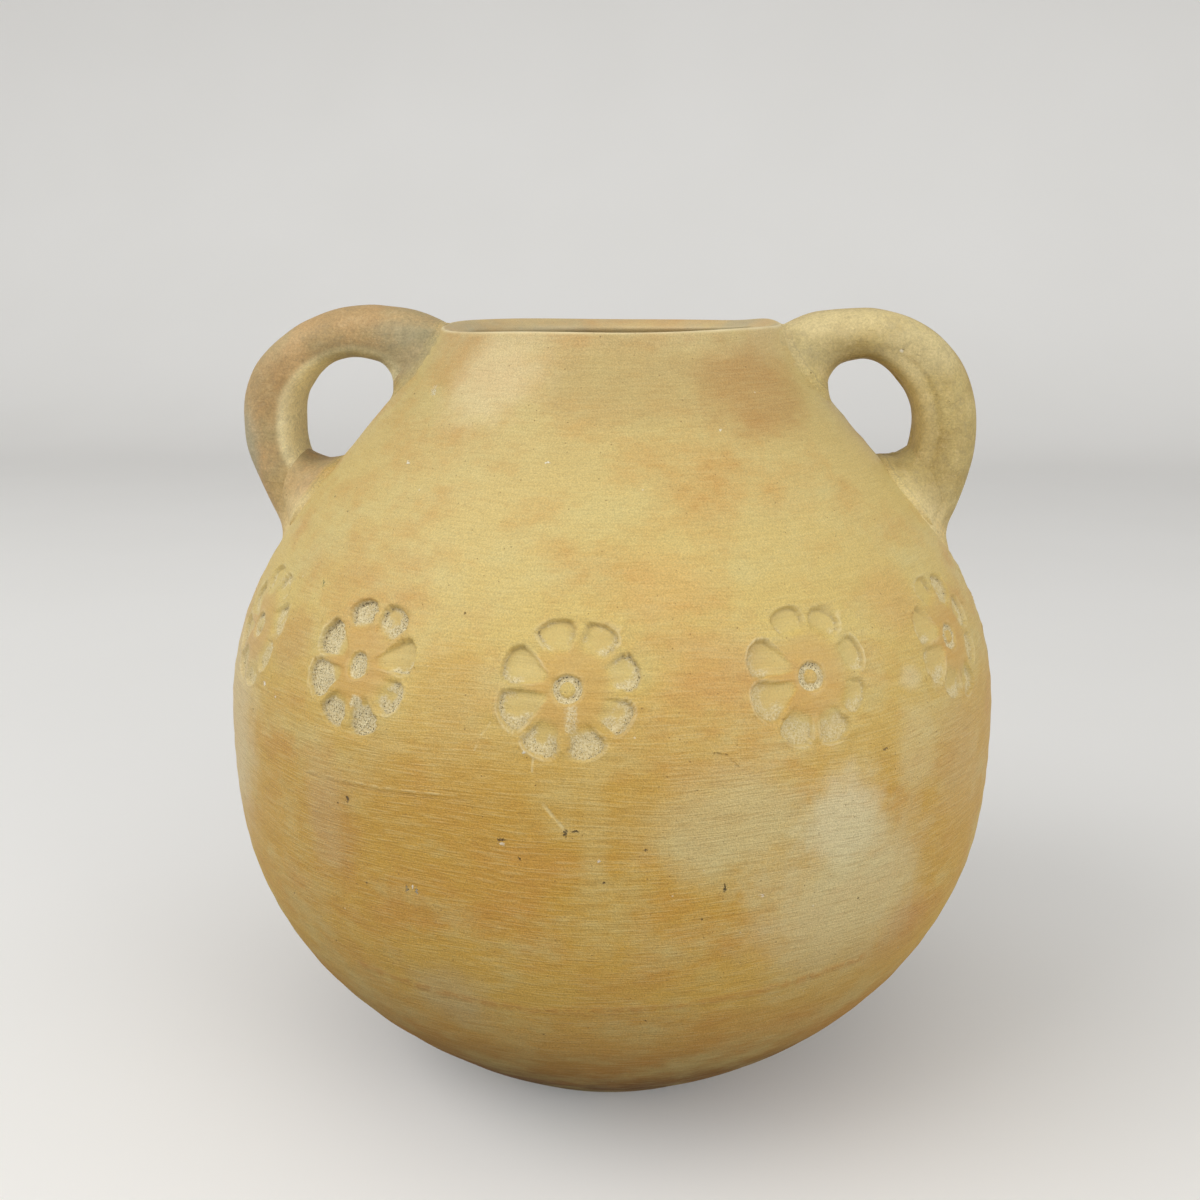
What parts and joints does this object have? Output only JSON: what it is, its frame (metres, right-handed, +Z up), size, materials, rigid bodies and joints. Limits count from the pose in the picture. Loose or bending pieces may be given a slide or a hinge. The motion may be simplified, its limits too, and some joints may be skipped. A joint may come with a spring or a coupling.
{
  "type": "planter",
  "caption": "Round-bellied earthenware jar planter with an open mouth, two pulled loop handles luted on with clay wads, and a ring of stamped rosettes round the shoulder",
  "frame": {"origin": "middle of the flat base, on the surface the jar stands on", "axes": "+Z up along the jar's axis, +X along the line through both handles towards the right handle, -Y the front, where one rosette is centred"},
  "size_m": [0.21, 0.21, 0.2129],
  "materials": {
    "body_clay": "unglazed earthenware with a thin yellow-ochre slip, brushed in rings",
    "handle_clay": "unglazed earthenware, slip worn to a pinkish tan, with grey-green smoke marks",
    "wad_clay": "unglazed earthenware, finger-smeared, slightly grey"
  },
  "bodies": {
    "root": {"pot_body": "body_clay", "left_handle": "handle_clay", "right_handle": "handle_clay", "left_upper_wad": "wad_clay", "left_lower_wad": "wad_clay", "right_upper_wad": "wad_clay", "right_lower_wad": "wad_clay"}
  },
  "joints": []
}
